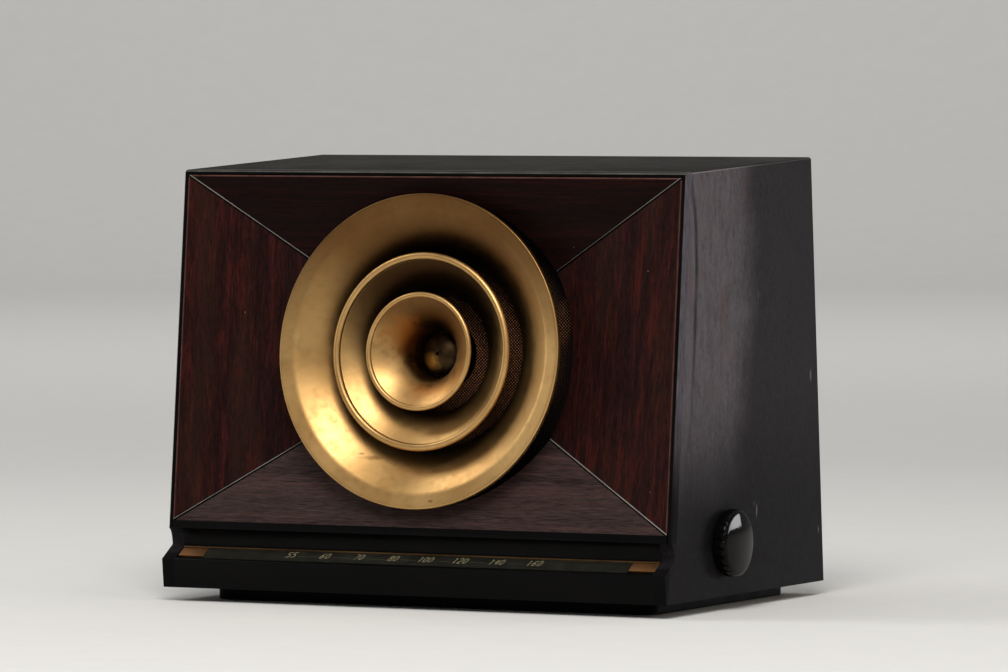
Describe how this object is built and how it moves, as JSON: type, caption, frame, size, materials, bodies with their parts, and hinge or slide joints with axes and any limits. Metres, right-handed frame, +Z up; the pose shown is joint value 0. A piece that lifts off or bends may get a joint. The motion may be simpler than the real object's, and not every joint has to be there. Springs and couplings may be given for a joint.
{
  "type": "radio receiver",
  "caption": "Table radio receiver: black wooden cabinet, dished mahogany front with nested gold horns, ledge dial with sliding pointer, side knobs.",
  "frame": {"origin": "middle of the footprint, on the surface the radio stands on", "axes": "+X to the radio's right-hand knob as the viewer sees it, along the width; +Y from the front to the back; +Z up. The front faces -Y."},
  "size_m": [0.3456, 0.2058, 0.254],
  "materials": {
    "black_lacquer": "satin black lacquer over wood",
    "black_gloss": "gloss black lacquer",
    "mahogany": "ribbon-grained veneer, satin lacquer",
    "plain_wood": "unfinished plywood and softwood",
    "plinth_black": "dull black stain",
    "gold_metal": "satin gold finish with patina",
    "copper_plates": "satin copper-gold",
    "grille_weave": "woven brown screen with gold threads",
    "dial_paper": "dark printed scale",
    "dial_glass": "clear glass",
    "pointer_paint": "cream paint",
    "bright_steel": "plated steel",
    "brass_parts": "plain brass",
    "dial_cord": "braided cord",
    "lamp": "small lamp bulbs",
    "knob_black": "polished black moulding",
    "plated_chassis": "dull zinc plate",
    "gang_metal": "plain aluminium",
    "socket_board": "brown laminate",
    "valve_base": "dark brown moulding",
    "valve_glass": "clear glass, silvered top",
    "transformer": "varnished laminations",
    "speaker_steel": "grey enamel",
    "speaker_paper": "black paper",
    "magnet": "plated iron",
    "fibreboard": "brown pressed board",
    "rubber": "black rubber"
  },
  "bodies": {
    "cabinet": {"side_board_left": "black_lacquer", "side_board_right": "black_lacquer", "top_board": "black_lacquer", "front_bead": "black_gloss", "cove_rail": "black_gloss", "dial_rail": "black_gloss", "mitre_strips": "black_gloss", "dish_panel_top": "mahogany", "dish_panel_bottom": "mahogany", "dish_panel_left": "mahogany", "dish_panel_right": "mahogany", "bottom_board": "plain_wood", "baffle_board": "plain_wood", "glue_blocks": "plain_wood", "plinth": "plinth_black", "outer_horn": "gold_metal", "middle_horn": "gold_metal", "inner_horn": "gold_metal", "centre_plug": "gold_metal", "horn_screws": "gold_metal", "dial_trim": "gold_metal", "dial_end_plates": "copper_plates", "grille_screen": "grille_weave", "dial_scale": "dial_paper", "dial_glass": "dial_glass", "horn_spider": "bright_steel", "pointer_rod": "bright_steel", "rod_brackets": "bright_steel", "guide_posts": "bright_steel", "chassis_screws": "bright_steel", "speaker_screws": "bright_steel", "rear_cover_screws": "bright_steel", "volume_control": "bright_steel", "cord_guides": "brass_parts", "tuning_bushing": "brass_parts", "dial_cord": "dial_cord", "dial_lamps": "lamp", "chassis": "plated_chassis", "gang_frame": "gang_metal", "gang_stators": "gang_metal", "if_cans": "gang_metal", "filter_can": "gang_metal", "valve_sockets": "socket_board", "valve_bases": "valve_base", "valve_glass": "valve_glass", "output_transformer": "transformer", "speaker_basket": "speaker_steel", "speaker_cone": "speaker_paper", "speaker_magnet": "magnet", "rear_cover": "fibreboard", "loop_antenna": "fibreboard", "cord_bushing": "rubber"},
    "tuning_control": {"tuning_knob": "knob_black", "tuning_shaft": "bright_steel"},
    "gang": {"gang_rotor": "gang_metal", "tuning_drum": "gang_metal"},
    "pointer": {"dial_pointer": "pointer_paint"},
    "volume_set": {"volume_knob": "knob_black", "volume_shaft": "bright_steel"}
  },
  "joints": [
    {"name": "tuning_knob_spin", "type": "hinge", "parent": "cabinet", "child": "tuning_control", "pos_m": [0.1628, -0.0268, 0.0383], "axis": [-1, 0, 0], "range_deg": [0, 1259]},
    {"name": "gang_spin", "type": "hinge", "parent": "cabinet", "child": "gang", "pos_m": [0.12, 0.0191, 0.086], "axis": [1, 0, 0], "range_deg": [0, 180]},
    {"name": "pointer_slide", "type": "slide", "parent": "cabinet", "child": "pointer", "axis": [1, 0, 0], "range_m": [0, 0.172]},
    {"name": "volume_knob_spin", "type": "hinge", "parent": "cabinet", "child": "volume_set", "pos_m": [-0.1628, -0.0268, 0.0383], "axis": [1, 0, 0], "range_deg": [0, 300]}
  ],
  "couplings": [
    {"joint": "gang_spin", "follows": "tuning_knob_spin", "ratio": 0.14286},
    {"joint": "pointer_slide", "follows": "tuning_knob_spin", "m_per_rad": 0.0078213}
  ]
}
